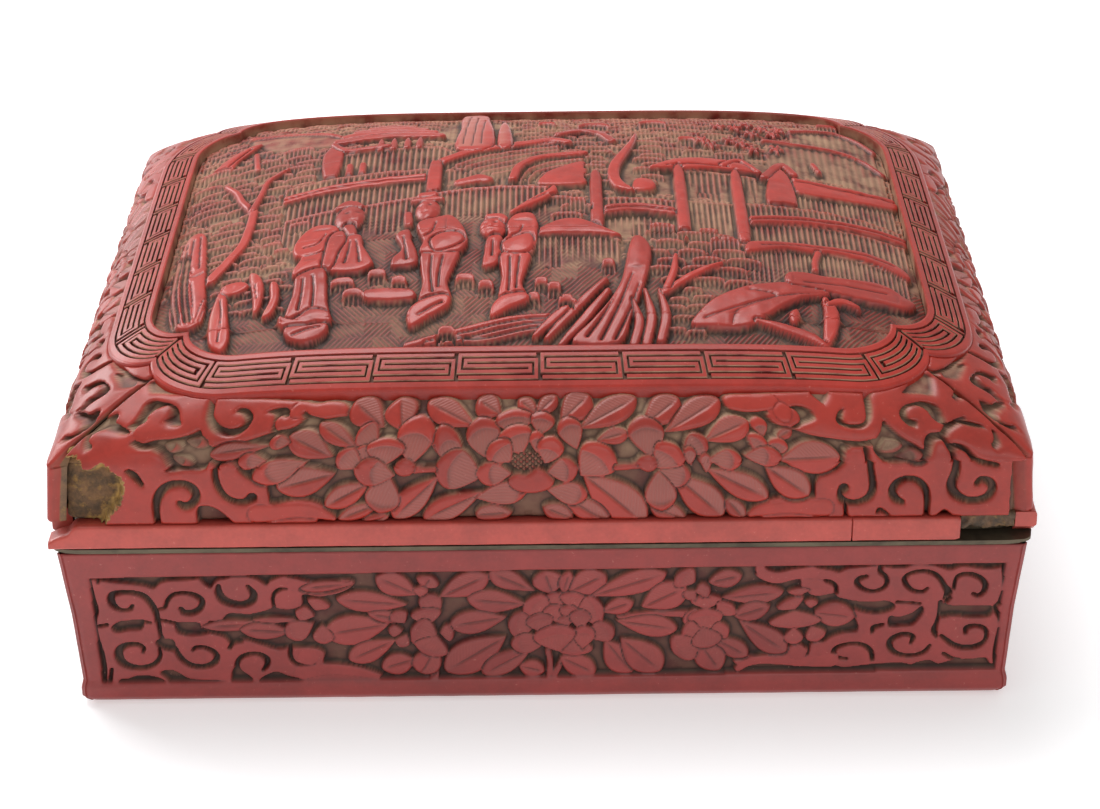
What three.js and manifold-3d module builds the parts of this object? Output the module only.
// A carved red lacquer box with a lift-off domed lid, in millimetres, +Z up, front towards -Y.
// The origin is the middle of the underside. Slabs of lacquer are laid over a brass tray and a
// domed brass shell, which carry enamel inside and thin brass rims where lid and base meet.
import * as THREE from "three";
import { mergeVertices } from "three/addons/utils/BufferGeometryUtils.js";
import Module from "manifold-3d";

const wasm = await Module();
wasm.setup();

// Overall sizes
const width = 254;
const depth = 203;
const jointHeight = 49.5;
const skirtHeight = 23.8;
const domeRise = 35.3;

// Clearances
const glue = 0.3;
const lidPlay = 0.6;
const overrun = 10;

// Lacquer of the lid: a plain band at the foot, then carved slabs over skirt and shoulder
const slabThickness = 3.9;
const skirtLean = 1.7;
const skirtFootInset = 0.8;
const bandHeight = 6.6;
const bandRound = 0.6;

// Lacquer of the base: an outer face that leans in to a waist above a rounded foot
const baseTopInset = 2;
const baseWaistInset = 4.4;
const footHeight = 6.2;
const footBulge = 0.6;
const footRound = 2.2;
const underThickness = 1;
const baseRelief = 2.1;
const lidRelief = 2.1;

// Metalwork and enamel
const sheet = 1.2;
const enamel = 0.6;
const rimThickness = 0.8;
const rimProud = 0.3;
const lipHeight = 4;

// Fret frame and scene field of the lid, with a notch between two lobes at each corner
const frameInset = 12.7;
const frameWidth = 11.7;
const frameProud = 0.6;
const outerNotch = 14;
const outerLobe = 20;
const innerNotch = 11.5;
const innerLobe = 14.5;
const sceneDepth = 0.6;
const sceneRelief = 2.4;
const foliageDrop = 1.1;

// Old losses on the front of the lid: a corner of the slab, the band's left tip and its right end
const cornerLossWidth = 21.2;
const cornerLossHeight = 19;
const tipLossWidth = 7.2;
const tipLossHeight = 4.2;
const bandLossWidth = 20.3;
const bandLossSlant = 0.8;

// Corner sharpness of the walls and squareness of the dome, as powers
const wallPower = 60;
const domePower = 4.5;

// Resolution, in counts
const domeSteps = 8;
const lobeSteps = 6;

// Edges shorter than this are merged
const mergeLength = 0.05;
const sideShares = [-1, -0.985, -0.95, -0.86, -0.68, -0.4, 0, 0.4, 0.68, 0.86, 0.95, 0.985];
const sceneSideShares = [-1, -0.86, -0.68, -0.4, 0, 0.4, 0.68, 0.86];

// Outlines of the losses, as shares across and up
const cornerLossShares = [
  [-1, 0],
  [0.65, 0],
  [0.86, 0.19],
  [0.97, 0.37],
  [1, 0.55],
  [0.98, 0.73],
  [0.89, 0.81],
  [0.78, 0.95],
  [0.58, 0.84],
  [0.37, 0.98],
  [-1, 1],
];
const tipLossShares = [
  [-1, 0],
  [0.06, 0],
  [0.3, 0.22],
  [0.82, 0.5],
  [1, 1],
  [1, 2],
  [-1, 2],
];

// The scene's forms in plan, as shares of its half width and half depth: the three walking figures
const figureShares = [
  [
    [-0.649, -0.389], [-0.604, -0.246], [-0.536, -0.13], [-0.487, -0.13], [-0.439, -0.493],
    [-0.439, -0.584], [-0.532, -0.908], [-0.647, -0.921],
  ],
  [
    [-0.378, -0.571], [-0.357, -0.22], [-0.326, -0.109], [-0.273, -0.104], [-0.189, -0.389],
    [-0.226, -0.778], [-0.327, -0.887], [-0.302, -0.571],
  ],
  [
    [-0.15, -0.584], [-0.152, -0.291], [-0.074, -0.241], [-0.019, -0.244], [-0.008, -0.389],
    [-0.031, -0.778], [-0.119, -0.846], [-0.099, -0.571],
  ],
];
// Rocks, banks and plants of the scene
const rockShares = [
  [[-0.953, -0.065], [-0.908, -0.208], [-0.864, -0.674], [-0.887, -0.765]],
  [[-0.844, -0.778], [-0.823, -0.591], [-0.786, -0.895], [-0.801, -0.955]],
  [[-0.754, -0.524], [-0.713, -0.623], [-0.731, -0.778]],
  [[-0.234, 0.35], [-0.228, 0.934], [-0.156, 0.981], [-0.133, 0.584], [-0.136, 0.35]],
  [[-0.029, -0.402], [0.049, -0.306], [0.088, -0.293], [0.214, -0.412]],
  [[0.542, -0.482], [0.565, -0.415], [0.858, -0.353], [0.969, -0.422], [0.969, -0.475], [0.78, -0.41]],
  [[0.385, -0.895], [0.448, -0.772], [0.643, -0.667], [0.745, -0.706], [0.526, -0.9]],
  [[0.634, -0.642], [0.663, -0.597], [0.906, -0.584], [0.971, -0.661], [0.936, -0.711]],
  [[0.084, -0.973], [0.21, -0.687], [0.248, -0.423], [0.29, -0.493], [0.263, -0.726], [0.201, -0.973]],
  [[-0.01, -0.96], [0.078, -0.791], [0.175, -0.667], [0.058, -0.973]],
  [[0.721, -0.973], [0.725, -0.804], [0.76, -0.817], [0.737, -0.973]],
  [[-0.331, -0.986], [0.039, -0.866], [0.039, -0.833], [-0.341, -0.96]],
];
// Rails, posts, trunks and the edge of the terrace
const railShares = [
  [[-0.692, 0.01], [-0.302, 0.057], [-0.302, 0.109], [-0.692, 0.062]],
  [[0.166, -0.254], [0.38, -0.249], [0.38, -0.202], [0.166, -0.208]],
  [[0.561, -0.267], [0.799, -0.192], [0.984, -0.192], [0.984, -0.14], [0.799, -0.14], [0.561, -0.215]],
  [[0.138, -0.357], [0.17, -0.357], [0.17, 0.078], [0.138, 0.078]],
  [[0.37, -0.383], [0.396, -0.383], [0.396, 0.156], [0.37, 0.156]],
  [[0.528, -0.396], [0.556, -0.396], [0.556, 0.156], [0.528, 0.156]],
  [[-0.306, -0.065], [-0.273, -0.065], [-0.273, 0.208], [-0.306, 0.208]],
  [
    [-0.692, -0.163], [-0.234, -0.075], [0.029, -0.065], [0.029, -0.031], [-0.234, -0.039],
    [-0.692, -0.135],
  ],
  [
    [-0.877, -0.506], [-0.801, 0.039], [-0.895, 0.285], [-0.875, 0.304], [-0.762, 0.13],
    [-0.846, -0.511],
  ],
  [[0.268, 0.506], [0.222, 0.104], [0.248, -0.052], [0.201, -0.039], [0.191, 0.13]],
];
// Roofs, gates, walls and the lines of the hills
const roofShares = [
  [[-0.614, 0.389], [-0.585, 0.501], [-0.433, 0.436], [-0.556, 0.402], [-0.565, 0.182], [-0.6, 0.182]],
  [[-0.565, 0.636], [-0.409, 0.778], [-0.341, 0.7], [-0.287, 0.493], [-0.487, 0.48]],
  [[-0.945, 0.467], [-0.912, 0.571], [-0.809, 0.68], [-0.887, 0.462]],
  [[-0.848, 0.799], [-0.556, 0.597], [-0.565, 0.558], [-0.848, 0.765]],
  [[-0.273, 0.202], [-0.068, 0.366], [0.078, 0.402], [0.078, 0.441], [-0.068, 0.405], [-0.273, 0.241]],
  [[0.302, 0.15], [0.4, 0.265], [0.546, 0.278], [0.604, 0.187]],
  [[0.62, -0.078], [0.622, 0.156], [0.682, 0.293], [0.698, -0.078]],
  [[0.71, 0.078], [0.71, 0.187], [0.984, 0.205], [0.984, 0.117]],
  [[0.643, 0.516], [0.916, 0.503], [0.984, 0.428], [0.926, 0.542], [0.643, 0.553]],
  [[0.725, 0.693], [0.858, 0.773], [0.981, 0.667], [0.858, 0.812], [0.721, 0.726]],
];
// Foliage, ribbed banks and railings, which stand half as high
const foliageShares = [
  [[-0.984, 0.039], [-0.984, 0.493], [-0.604, 0.493], [-0.604, 0.208], [-0.712, 0.039]],
  [[-0.984, -0.493], [-0.984, 0.013], [-0.702, 0.013], [-0.643, -0.156], [-0.682, -0.441]],
  [[-0.673, -0.15], [0.029, -0.047], [0.029, -0.169], [-0.604, -0.246]],
  [[-0.565, 0.402], [-0.244, 0.402], [-0.244, 0.259], [-0.565, 0.259]],
  [[-0.263, 0.208], [-0.068, 0.376], [0.078, 0.41], [0.117, 0.259], [-0.078, 0.013], [-0.263, 0.065]],
  [[0.273, -0.687], [0.273, -0.337], [0.556, -0.363], [0.487, -0.687]],
  [[-0.068, 0.441], [-0.068, 0.882], [0.195, 0.882], [0.195, 0.597]],
  [[0.273, 0.337], [0.273, 0.908], [0.585, 0.934], [0.624, 0.363]],
  [[-0.029, -0.402], [0.214, -0.415], [0.214, -0.493], [-0.029, -0.48]],
  [[0.546, -0.467], [0.971, -0.467], [0.971, -0.558], [0.565, -0.558]],
  [[0.643, 0.524], [0.926, 0.519], [0.975, 0.324], [0.643, 0.402]],
  [[0.741, 0.726], [0.955, 0.7], [0.965, 0.597], [0.741, 0.61]],
  [[0.702, 0.13], [0.984, 0.13], [0.984, 0], [0.702, 0]],
  [[-0.702, 0.013], [-0.302, 0.062], [-0.302, -0.039], [-0.702, -0.078]],
  [[0.166, -0.22], [0.38, -0.22], [0.38, -0.337], [0.166, -0.337]],
  [[0.556, -0.091], [0.984, -0.065], [0.984, -0.122], [0.556, -0.156]],
  [[0.556, -0.259], [0.984, -0.182], [0.984, -0.311], [0.556, -0.363]],
  [[-0.858, -0.778], [-0.838, -0.571], [-0.653, -0.467], [-0.653, -0.778]],
  [[0.131, 0.078], [0.195, 0.078], [0.195, 0.389], [0.131, 0.389]],
  [[-0.01, -0.013], [0.019, 0.13], [0.127, 0.233], [0.127, -0.013]],
  [[-0.585, 0.519], [-0.585, 0.986], [-0.273, 0.986], [-0.273, 0.467]],
];
// Carving of the base's slabs, as shares of half its width and of its height: ground and hollows
const baseHollowShares = [
  [
    [-0.571, 0.605], [-0.386, 0.773], [-0.496, 0.86], [0.417, 0.88], [0.461, 0.764], [0.526, 0.781],
    [0.548, 0.682], [0.654, 0.618], [0.65, 0.417], [0.559, 0.343], [0.543, 0.256], [0.535, 0.322],
    [0.417, 0.252], [0.402, 0.132], [-0.346, 0.124], [-0.46, 0.244], [-0.472, 0.343],
    [-0.693, 0.455], [-0.687, 0.541],
  ],
  [[-0.882, 0.302], [-0.846, 0.229], [-0.811, 0.302], [-0.846, 0.374]],
  [[-0.752, 0.298], [-0.72, 0.236], [-0.689, 0.298], [-0.72, 0.36]],
  [[-0.638, 0.248], [-0.61, 0.186], [-0.583, 0.248], [-0.61, 0.31]],
  [[-0.882, 0.682], [-0.846, 0.62], [-0.811, 0.682], [-0.846, 0.744]],
  [[-0.768, 0.661], [-0.736, 0.599], [-0.705, 0.661], [-0.736, 0.723]],
  [[-0.66, 0.715], [-0.628, 0.653], [-0.597, 0.715], [-0.628, 0.777]],
  [[0.614, 0.289], [0.646, 0.238], [0.677, 0.289], [0.646, 0.341]],
  [[0.724, 0.331], [0.76, 0.269], [0.795, 0.331], [0.76, 0.393]],
  [[0.843, 0.38], [0.878, 0.318], [0.913, 0.38], [0.878, 0.442]],
  [[0.65, 0.744], [0.677, 0.692], [0.705, 0.744], [0.677, 0.795]],
  [[0.744, 0.756], [0.78, 0.694], [0.815, 0.756], [0.78, 0.818]],
  [[0.85, 0.723], [0.878, 0.661], [0.906, 0.723], [0.878, 0.785]],
];
// Flowers and leaves that stand on the base's ground
const baseLeafShares = [
  [[-0.079, 0.351], [-0.039, 0.64], [0.039, 0.711], [0.11, 0.64], [0.134, 0.393], [0.031, 0.26]],
  [[-0.32, 0.413], [-0.244, 0.715], [-0.181, 0.434], [-0.244, 0.26]],
  [[0.26, 0.302], [0.291, 0.64], [0.362, 0.674], [0.386, 0.331]],
  [[-0.54, 0.426], [-0.488, 0.64], [-0.417, 0.496], [-0.449, 0.364]],
  [[0.472, 0.434], [0.504, 0.702], [0.567, 0.62], [0.551, 0.343]],
  [[-0.28, 0.628], [-0.371, 0.581], [-0.424, 0.669], [-0.365, 0.726]],
  [[-0.319, 0.5], [-0.394, 0.359], [-0.454, 0.434], [-0.408, 0.56]],
  [[-0.079, 0.405], [-0.132, 0.176], [-0.205, 0.178], [-0.179, 0.356]],
  [[0.099, 0.674], [0.183, 0.839], [0.254, 0.822], [0.204, 0.69]],
  [[0.162, 0.384], [0.24, 0.322], [0.244, 0.165], [0.184, 0.179]],
  [[0.406, 0.496], [0.486, 0.429], [0.506, 0.285], [0.448, 0.305]],
];
// Carving of the lid's slabs, as shares of half its width and of its rise over the slab's foot
const lidHollowShares = [
  [
    [-0.661, 0.392], [-0.533, 0.478], [-0.463, 0.551], [-0.426, 0.602], [-0.212, 0.609], [0, 0.609],
    [0.283, 0.609], [0.409, 0.59], [0.477, 0.494], [0.618, 0.381], [0.559, 0.217], [0.543, 0.098],
    [0.457, 0.098], [0.409, -0.039], [-0.417, -0.039], [-0.449, 0.098], [-0.567, 0.157],
  ],
  [[-0.913, 0.177], [-0.866, 0.089], [-0.819, 0.177], [-0.866, 0.266]],
  [[-0.76, 0.177], [-0.724, 0.089], [-0.689, 0.177], [-0.724, 0.266]],
  [[-0.795, 0.384], [-0.736, 0.317], [-0.664, 0.384], [-0.716, 0.447]],
  [[-0.811, 0.518], [-0.794, 0.472], [-0.728, 0.518], [-0.748, 0.559]],
  [[-0.893, 0.455], [-0.895, 0.403], [-0.84, 0.455], [-0.841, 0.503]],
  [[0.669, 0.373], [0.724, 0.295], [0.77, 0.373], [0.705, 0.445]],
  [[0.599, 0.509], [0.649, 0.462], [0.67, 0.509], [0.619, 0.551]],
  [[0.712, 0.509], [0.778, 0.462], [0.8, 0.509], [0.736, 0.551]],
  [[0.594, 0.157], [0.63, 0.079], [0.665, 0.157], [0.63, 0.236]],
  [[0.709, 0.138], [0.748, 0.059], [0.787, 0.138], [0.748, 0.217]],
  [[0.827, 0.177], [0.866, 0.089], [0.905, 0.177], [0.866, 0.266]],
];
// Flowers and leaves that stand on the lid's ground
const lidLeafShares = [
  [
    [-0.129, 0.236], [-0.113, 0.509], [-0.051, 0.557], [0.052, 0.532], [0.137, 0.392],
    [0.079, 0.138], [-0.039, 0.138],
  ],
  [[-0.402, 0.295], [-0.351, 0.478], [-0.237, 0.538], [-0.213, 0.276], [-0.299, 0.059]],
  [[0.213, 0.079], [0.203, 0.509], [0.279, 0.428], [0.339, 0.236], [0.268, 0.059]],
  [[-0.606, 0.335], [-0.508, 0.445], [-0.472, 0.335], [-0.567, 0.236]],
  [[0.409, 0.335], [0.429, 0.509], [0.488, 0.428], [0.472, 0.295]],
  [[-0.409, 0.27], [-0.473, 0.139], [-0.528, 0.189], [-0.491, 0.302]],
  [[-0.129, 0.494], [-0.205, 0.504], [-0.223, 0.585], [-0.171, 0.595]],
  [[-0.205, 0.246], [-0.241, 0.055], [-0.298, 0.016], [-0.282, 0.156]],
  [[-0.118, 0.157], [-0.178, 0.004], [-0.236, 0.008], [-0.203, 0.128]],
  [[0.08, 0.481], [0.136, 0.595], [0.194, 0.592], [0.168, 0.505]],
  [[0.25, 0.462], [0.3, 0.584], [0.36, 0.585], [0.34, 0.494]],
  [[0.48, 0.323], [0.545, 0.421], [0.601, 0.335], [0.556, 0.235]],
  [[0.449, 0.283], [0.522, 0.248], [0.537, 0.118], [0.483, 0.117]],
  [[0.331, 0.276], [0.421, 0.237], [0.455, 0.106], [0.393, 0.107]],
  [[0.087, 0.248], [0.192, 0.162], [0.209, -0.03], [0.132, -0.005]],
  [[0.265, 0.248], [0.351, 0.167], [0.365, 0.008], [0.301, 0.035]],
];

// Places that follow from the sizes above
const halfWidth = width / 2;
const halfDepth = depth / 2;
const shoulder = jointHeight + skirtHeight;
const total = shoulder + domeRise;
const rimFoot = jointHeight - rimThickness;
const lidRimFoot = jointHeight + glue;
const bandFoot = lidRimFoot + rimThickness + glue;
const bandTop = bandFoot + bandHeight;
const slabFoot = bandTop + glue;
const slabBackInset = skirtLean + slabThickness;
const shellInset = slabBackInset + glue;
const lossDepth = slabBackInset + slabThickness;
const lidEnamelInset = shellInset + sheet + glue;
const trayInset = lidEnamelInset + enamel + lidPlay;
const trayEnamelInset = trayInset + sheet + glue;
const panelBackInset = trayInset - glue;
const trayFoot = underThickness + glue;
const trayTop = jointHeight + lipHeight;
const baseSlabTop = rimFoot - glue;
const sceneInset = frameInset + frameWidth;
const sceneHalfWidth = halfWidth - sceneInset;
const sceneHalfDepth = halfDepth - sceneInset;

// Colours
const materials = {
  lacquer: new THREE.MeshStandardMaterial({ color: 0x9c2f26, roughness: 0.38, metalness: 0 }),
  brass: new THREE.MeshStandardMaterial({ color: 0x7d7355, roughness: 0.5, metalness: 0.9 }),
  enamel: new THREE.MeshStandardMaterial({ color: 0x2b6480, roughness: 0.2, metalness: 0 }),
  underside: new THREE.MeshStandardMaterial({ color: 0x17120f, roughness: 0.35, metalness: 0 }),
};

// Directions round a unit square, anticlockwise from above, closer together near the corners.
const directions = (shares) => [
  ...shares.map((s) => [s, -1]),
  ...shares.map((s) => [1, s]),
  ...shares.map((s) => [-s, 1]),
  ...shares.map((s) => [-1, -s]),
];
const ring = directions(sideShares);
const sceneRing = directions(sceneSideShares);

// A three.js geometry as a manifold solid, and a manifold solid as a three.js geometry.
function solid(geometry) {
  geometry.deleteAttribute("normal");
  geometry.deleteAttribute("uv");
  const merged = mergeVertices(geometry);
  return new wasm.Manifold(
    new wasm.Mesh({
      numProp: 3,
      vertProperties: merged.attributes.position.array,
      triVerts: new Uint32Array(merged.index.array),
    }),
  );
}

function geometryOf(shape) {
  const { vertProperties, triVerts } = shape.simplify(mergeLength).getMesh();
  const geometry = new THREE.BufferGeometry();
  geometry.setAttribute("position", new THREE.BufferAttribute(vertProperties, 3));
  geometry.setIndex(new THREE.BufferAttribute(triVerts, 1));
  const flat = geometry.toNonIndexed();
  flat.computeVertexNormals();
  return flat;
}

// How far a direction (u, v) of the unit square reaches in the dome's section at a level from 0 at
// the top to 1 at the foot. It solves 1 - (1 - |u t|^n)(1 - |v t|^n) = level^n for t, so that the
// section is the full rectangle at the foot and a soft oval near the top.
function reach([u, v], level) {
  const a = Math.abs(u) ** domePower;
  const b = Math.abs(v) ** domePower;
  const target = level ** domePower;
  const both = a + b;
  const product = a * b;
  const root = Math.sqrt(Math.max(both * both - 4 * product * target, 0));
  const share = product > 0 ? (2 * target) / (both + root) : target / both;
  return share ** (1 / domePower);
}

// A closed solid through level sections, each with its inset from the lid's outer face, its height
// and its level in the dome. All sections have the walls' rounded corners.
function loft(sections, around = ring) {
  const points = [];
  for (const { inset, z, level = 1 } of sections) {
    for (const [u, v] of around) {
      const corner = (Math.abs(u) ** wallPower + Math.abs(v) ** wallPower) ** (-1 / wallPower);
      const t = corner * reach([u, v], level);
      points.push((halfWidth - inset) * u * t, (halfDepth - inset) * v * t, z);
    }
  }
  const foot = points.length / 3;
  points.push(0, 0, sections[0].z, 0, 0, sections.at(-1).crown ?? sections.at(-1).z);
  const faces = [];
  const last = (sections.length - 1) * around.length;
  for (let i = 0; i < around.length; i++) {
    const next = (i + 1) % around.length;
    faces.push(foot, next, i, foot + 1, last + i, last + next);
    for (let row = 0; row < last; row += around.length) {
      const above = row + around.length;
      faces.push(row + i, row + next, above + next);
      faces.push(row + i, above + next, above + i);
    }
  }
  const geometry = new THREE.BufferGeometry();
  geometry.setAttribute("position", new THREE.Float32BufferAttribute(points, 3));
  return solid(geometry.setIndex(faces));
}

// A block with upright walls between two heights.
const block = (inset, foot, top) =>
  loft([
    { inset, z: foot },
    { inset, z: top },
  ]);

// The lid's form at an inset: walls from foot to the shoulder, then a quarter ellipse of sections.
function domed(inset, foot, footInset = inset, around = ring) {
  const rise = domeRise + skirtLean - inset;
  const sections = [{ inset: footInset, z: foot }];
  for (let step = 0; step < domeSteps; step++) {
    const angle = (Math.PI / 2) * (step / domeSteps);
    sections.push({ inset, z: shoulder + rise * Math.sin(angle), level: Math.cos(angle) });
  }
  sections.at(-1).crown = shoulder + rise;
  return loft(sections, around);
}

// A plan outline set in from the lid's outer face, with two lobes and a notch at each corner.
function notchedOutline(inset, notch, lobe) {
  const x = halfWidth - inset;
  const y = halfDepth - inset;
  const lobePoints = Array.from({ length: lobeSteps + 1 }, (_, step) => {
    const turn = (Math.PI / 2) * (step / lobeSteps);
    return [notch * (1 - Math.cos(turn)), notch + lobe * (1 - Math.sin(turn))];
  });
  const mirrored = lobePoints.slice(0, -1).map(([a, b]) => [b, a]);
  const corner = [...lobePoints, ...mirrored.reverse()];
  const outline = [];
  for (const [sx, sy] of [[1, 1], [-1, 1], [-1, -1], [1, -1]]) {
    const points = corner.map(([a, b]) => new THREE.Vector2(sx * (x - a), sy * (y - b)));
    outline.push(...(sx === sy ? points : points.reverse()));
  }
  return new THREE.Shape(outline);
}

// An upright prism over a plan outline.
function prism(outline, foot, top) {
  const geometry = new THREE.ExtrudeGeometry(outline, { depth: top - foot, bevelEnabled: false });
  return solid(geometry.translate(0, 0, foot));
}

// A cut through the lacquer at the front, with its outline seen from the front.
function frontCut(points, reachIn) {
  const outline = new THREE.Shape(points.map(([x, z]) => new THREE.Vector2(x, z)));
  const geometry = new THREE.ExtrudeGeometry(outline, { depth: overrun + reachIn, bevelEnabled: false });
  geometry.rotateX(Math.PI / 2).translate(0, reachIn - halfDepth, 0);
  return solid(geometry);
}

// The carving of four sides from outlines in shares, with their foot, height and depth. The short
// sides take the front's outlines drawn together, and the back and left mirror the front and right.
function carvings(shares, foot, height, reachIn) {
  const along = (half) =>
    wasm.Manifold.union(
      shares.map((outline) => frontCut(outline.map(([x, z]) => [x * half, foot + z * height]), reachIn)),
    );
  const front = along(halfWidth);
  const right = along(halfDepth).rotate([0, 0, 90]).translate([halfWidth - halfDepth, 0, 0]);
  return { front, right, back: front.mirror([0, 1, 0]), left: right.mirror([1, 0, 0]) };
}

// Forms of the scene in plan, from outlines in shares.
function sceneForms(shares) {
  const placed = shares.map((outline) => outline.map(([x, y]) => [x * sceneHalfWidth, y * sceneHalfDepth]));
  return wasm.Manifold.union(placed.map(planRegion));
}

// A region in plan, as high as the box and more.
const planRegion = (points) =>
  prism(new THREE.Shape(points.map(([x, y]) => new THREE.Vector2(x, y))), -overrun, total + overrun);

// A slab's region at the front. It stands between the side slabs, which run through to the front
// face, and its ends turn in along the diagonals from the depth of backInset. With no backInset
// the joint is a plain mitre.
function frontRegion(backInset, gap) {
  const butt = halfWidth - backInset - gap;
  const back = halfDepth - backInset;
  const turnIn = back / 2;
  return planRegion([
    [-butt, -halfDepth - overrun],
    [butt, -halfDepth - overrun],
    [butt, -back],
    [butt - turnIn, turnIn - back],
    [turnIn - butt, turnIn - back],
    [-butt, -back],
  ]);
}

// The regions of the four sides, from those of the front and the right.
const fourSides = (front, right) => ({
  front,
  right,
  back: front.rotate([0, 0, 180]),
  left: right.rotate([0, 0, 180]),
});

const rectangle = (fromX, toX, fromY, toY) =>
  planRegion([
    [fromX, fromY],
    [toX, fromY],
    [toX, toY],
    [fromX, toY],
  ]);

function slabRegions(backInset) {
  const across = frontRegion(backInset, 0);
  const right = rectangle(0, width, -depth, depth).subtract(across).subtract(across.rotate([0, 0, 180]));
  return fourSides(frontRegion(backInset, glue), right);
}

// The plain bands lie the other way: front and back ones run through over the ends of the sides.
function bandRegions() {
  const end = halfDepth - slabBackInset;
  return fourSides(rectangle(-width, width, -depth, -end), rectangle(0, width, glue - end, end - glue));
}

const group = new THREE.Group();

function add(name, shape, material) {
  const mesh = new THREE.Mesh(geometryOf(shape), material);
  mesh.name = name;
  group.add(mesh);
}

// Lacquer slabs of the base
const waist = footHeight + footRound / 2;
const lean = baseWaistInset - baseTopInset;
const baseFace = (sunk) =>
  loft([
    { inset: baseWaistInset + footRound + sunk, z: 0 },
    { inset: baseWaistInset + footRound / 3 + sunk, z: footRound / 4 },
    { inset: baseWaistInset - footBulge + sunk, z: footRound },
    { inset: baseWaistInset - footBulge + sunk, z: footHeight - footRound / 2 },
    { inset: baseWaistInset + sunk, z: waist },
    { inset: baseWaistInset - lean / 3 + sunk, z: (waist + baseSlabTop) / 2 },
    { inset: baseTopInset + sunk, z: baseSlabTop },
  ]);
const basePanels = baseFace(0).subtract(block(panelBackInset, -overrun, total));
const baseGround = baseFace(baseRelief);
const baseHollows = carvings(baseHollowShares, 0, baseSlabTop, lossDepth);
const baseLeaves = carvings(baseLeafShares, 0, baseSlabTop, lossDepth);
for (const [side, region] of Object.entries(slabRegions(0))) {
  const cut = baseHollows[side].subtract(baseLeaves[side]).subtract(baseGround);
  add(`base_panel_${side}`, basePanels.intersect(region).subtract(cut), materials.lacquer);
}

// Plain bands and carved slabs of the lid
const bands = loft([
  { inset: bandRound, z: bandFoot },
  { inset: 0, z: bandFoot + bandRound },
  { inset: 0, z: bandTop - bandRound },
  { inset: bandRound, z: bandTop },
]).subtract(block(slabBackInset, -overrun, total));
const lidBack = domed(slabBackInset, -overrun);
const slabs = domed(skirtLean, slabFoot, skirtFootInset)
  .subtract(lidBack)
  .subtract(prism(notchedOutline(frameInset - glue, outerNotch, outerLobe), shoulder, total + overrun));

const cornerLoss = frontCut(
  cornerLossShares.map(([across, up]) => [
    cornerLossWidth * across - halfWidth,
    slabFoot - glue + (cornerLossHeight + glue) * up,
  ]),
  lossDepth,
);
const bandLoss = frontCut(
  [
    [halfWidth - bandLossWidth + bandLossSlant, bandFoot - overrun],
    [width, bandFoot - overrun],
    [width, bandTop + overrun],
    [halfWidth - bandLossWidth, bandTop + overrun],
  ],
  lossDepth,
).add(
  frontCut(
    tipLossShares.map(([across, up]) => [
      tipLossWidth * across - halfWidth,
      bandTop + tipLossHeight * (up - 1),
    ]),
    lossDepth,
  ),
);
const lidGround = domed(skirtLean + lidRelief, slabFoot - overrun, skirtFootInset + lidRelief);
const lidHollows = carvings(lidHollowShares, slabFoot, total - slabFoot, halfDepth / 2);
const lidLeaves = carvings(lidLeafShares, slabFoot, total - slabFoot, halfDepth / 2);
const losses = { lid_panel_front: cornerLoss, lid_band_front: bandLoss };

const lidBands = bandRegions();
for (const [side, region] of Object.entries(slabRegions(slabBackInset))) {
  const pieces = {
    [`lid_band_${side}`]: bands.intersect(lidBands[side]),
    [`lid_panel_${side}`]: slabs
      .intersect(region)
      .subtract(lidHollows[side].subtract(lidLeaves[side]).subtract(lidGround)),
  };
  for (const [name, piece] of Object.entries(pieces)) {
    add(name, name in losses ? piece.subtract(losses[name]) : piece, materials.lacquer);
  }
}

// Fret frame and sunk scene panel, whose forms stand on the ground at two heights
add(
  "lid_fret_frame",
  domed(skirtLean - frameProud, shoulder - overrun)
    .intersect(prism(notchedOutline(frameInset, outerNotch, outerLobe), shoulder, total + overrun))
    .subtract(prism(notchedOutline(sceneInset, innerNotch, innerLobe), 0, total + overrun))
    .subtract(lidBack),
  materials.lacquer,
);
const sceneLevel = (drop) => {
  const inset = skirtLean + sceneDepth + drop;
  return domed(inset, shoulder - overrun, inset, sceneRing);
};
const standing = [...figureShares, ...rockShares, ...railShares, ...roofShares];
add(
  "lid_scene_panel",
  sceneLevel(0)
    .intersect(sceneForms(standing))
    .add(sceneLevel(foliageDrop).intersect(sceneForms(foliageShares)))
    .add(sceneLevel(sceneRelief))
    .intersect(prism(notchedOutline(sceneInset + glue, innerNotch, innerLobe), shoulder, total + overrun))
    .subtract(lidBack),
  materials.lacquer,
);

// Brass shell, enamel and rim of the lid
add(
  "lid_shell",
  domed(shellInset, bandFoot).subtract(domed(shellInset + sheet, -overrun)),
  materials.brass,
);
add(
  "lid_enamel",
  domed(lidEnamelInset, bandFoot).subtract(domed(lidEnamelInset + enamel, -overrun)),
  materials.enamel,
);
add(
  "lid_rim",
  block(bandRound, lidRimFoot, lidRimFoot + rimThickness).subtract(block(lidEnamelInset + enamel, 0, total)),
  materials.brass,
);

// Brass tray, enamel, rim and underside of the base
add(
  "base_tray",
  block(trayInset, trayFoot, trayTop).subtract(block(trayInset + sheet, trayFoot + sheet, total)),
  materials.brass,
);
add(
  "base_enamel",
  block(trayEnamelInset, trayFoot + sheet + glue, trayTop).subtract(
    block(trayEnamelInset + enamel, trayFoot + sheet + glue + enamel, total),
  ),
  materials.enamel,
);
add(
  "base_rim",
  block(baseTopInset - rimProud, rimFoot, jointHeight).subtract(block(trayInset - glue, 0, total)),
  materials.brass,
);
add("base_underside", block(panelBackInset + glue, 0, underThickness), materials.underside);

export default group;
